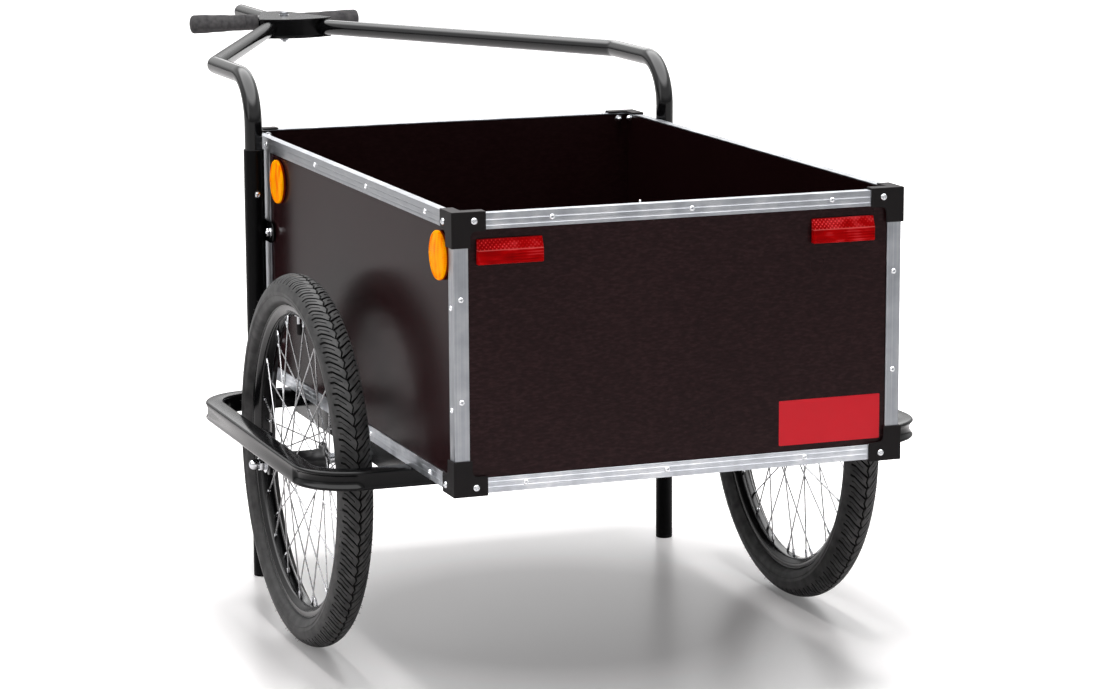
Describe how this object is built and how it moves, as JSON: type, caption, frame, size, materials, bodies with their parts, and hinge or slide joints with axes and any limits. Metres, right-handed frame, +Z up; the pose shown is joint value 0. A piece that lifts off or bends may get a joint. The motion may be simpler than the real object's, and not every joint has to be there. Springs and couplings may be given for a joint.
{
  "type": "cargo bike trailer",
  "caption": "Two-wheeled plywood box trailer in aluminium angles with spoked wheels, bent wheel guards, stand legs and a height-adjustable drawbar with handlebar.",
  "frame": {"origin": "on the ground under the middle of the overall length and width", "axes": "+Z up, +Y along the drawbar towards the bicycle, +X to the right seen from behind"},
  "size_m": [0.867, 2.035, 0.7355],
  "materials": {
    "plywood": "dark film-faced, satin",
    "aluminium": "drawn, satin",
    "cap_plastic": "satin black",
    "black_tube": "semi-gloss black powder coat",
    "foam": "matt grey foam",
    "amber_lens": "prismatic amber",
    "red_lens": "prismatic red",
    "tyre_rubber": "treaded black rubber",
    "rim_black": "gloss black",
    "steel": "bright zinc plated"
  },
  "bodies": {
    "chassis": {"floor_panel": "plywood", "left_panel": "plywood", "right_panel": "plywood", "rear_panel": "plywood", "front_panel": "plywood", "left_rim_angle": "aluminium", "right_rim_angle": "aluminium", "rear_rim_angle": "aluminium", "front_rim_angle": "aluminium", "left_base_angle": "aluminium", "right_base_angle": "aluminium", "rear_base_angle": "aluminium", "front_base_angle": "aluminium", "rear_left_post": "aluminium", "rear_right_post": "aluminium", "front_left_post": "aluminium", "front_right_post": "aluminium", "rear_left_upper_cap": "cap_plastic", "rear_left_lower_cap": "cap_plastic", "rear_right_upper_cap": "cap_plastic", "rear_right_lower_cap": "cap_plastic", "front_left_upper_cap": "cap_plastic", "front_left_lower_cap": "cap_plastic", "front_right_upper_cap": "cap_plastic", "front_right_lower_cap": "cap_plastic", "left_rear_amber_reflector": "amber_lens", "right_rear_amber_reflector": "amber_lens", "left_front_amber_reflector": "amber_lens", "right_front_amber_reflector": "amber_lens", "left_red_reflector": "red_lens", "right_red_reflector": "red_lens", "left_frame_tube": "black_tube", "right_frame_tube": "black_tube", "left_side_rail": "black_tube", "right_side_rail": "black_tube", "left_backing_strip": "aluminium", "right_backing_strip": "aluminium", "left_sleeve": "black_tube", "right_sleeve": "black_tube", "left_axle": "steel", "right_axle": "steel"},
    "left_wheel": {"left_tyre": "tyre_rubber", "left_rim": "rim_black", "left_spoked_hub": "steel"},
    "right_wheel": {"right_tyre": "tyre_rubber", "right_rim": "rim_black", "right_spoked_hub": "steel"},
    "left_leg": {"left_stand_leg": "black_tube"},
    "right_leg": {"right_stand_leg": "black_tube"},
    "drawbar": {"left_drawbar_arm": "black_tube", "right_drawbar_arm": "black_tube", "upper_gusset": "black_tube", "lower_gusset": "black_tube", "drawbar_bolt": "steel", "handlebar": "black_tube", "left_grip": "foam", "right_grip": "foam", "hitch_tube": "black_tube"}
  },
  "joints": [
    {"name": "left_wheel_spin", "type": "hinge", "parent": "chassis", "child": "left_wheel", "pos_m": [-0.356, -0.5575, 0.25], "axis": [1, 0, 0], "continuous": true},
    {"name": "right_wheel_spin", "type": "hinge", "parent": "chassis", "child": "right_wheel", "pos_m": [0.356, -0.5575, 0.25], "axis": [1, 0, 0], "continuous": true},
    {"name": "drawbar_height", "type": "slide", "parent": "chassis", "child": "drawbar", "axis": [0, 0, 1], "range_m": [-0.02, 0.05]},
    {"name": "left_leg_height", "type": "slide", "parent": "chassis", "child": "left_leg", "axis": [0, 0, 1], "range_m": [0, 0.12]},
    {"name": "right_leg_height", "type": "slide", "parent": "chassis", "child": "right_leg", "axis": [0, 0, 1], "range_m": [0, 0.12]}
  ]
}
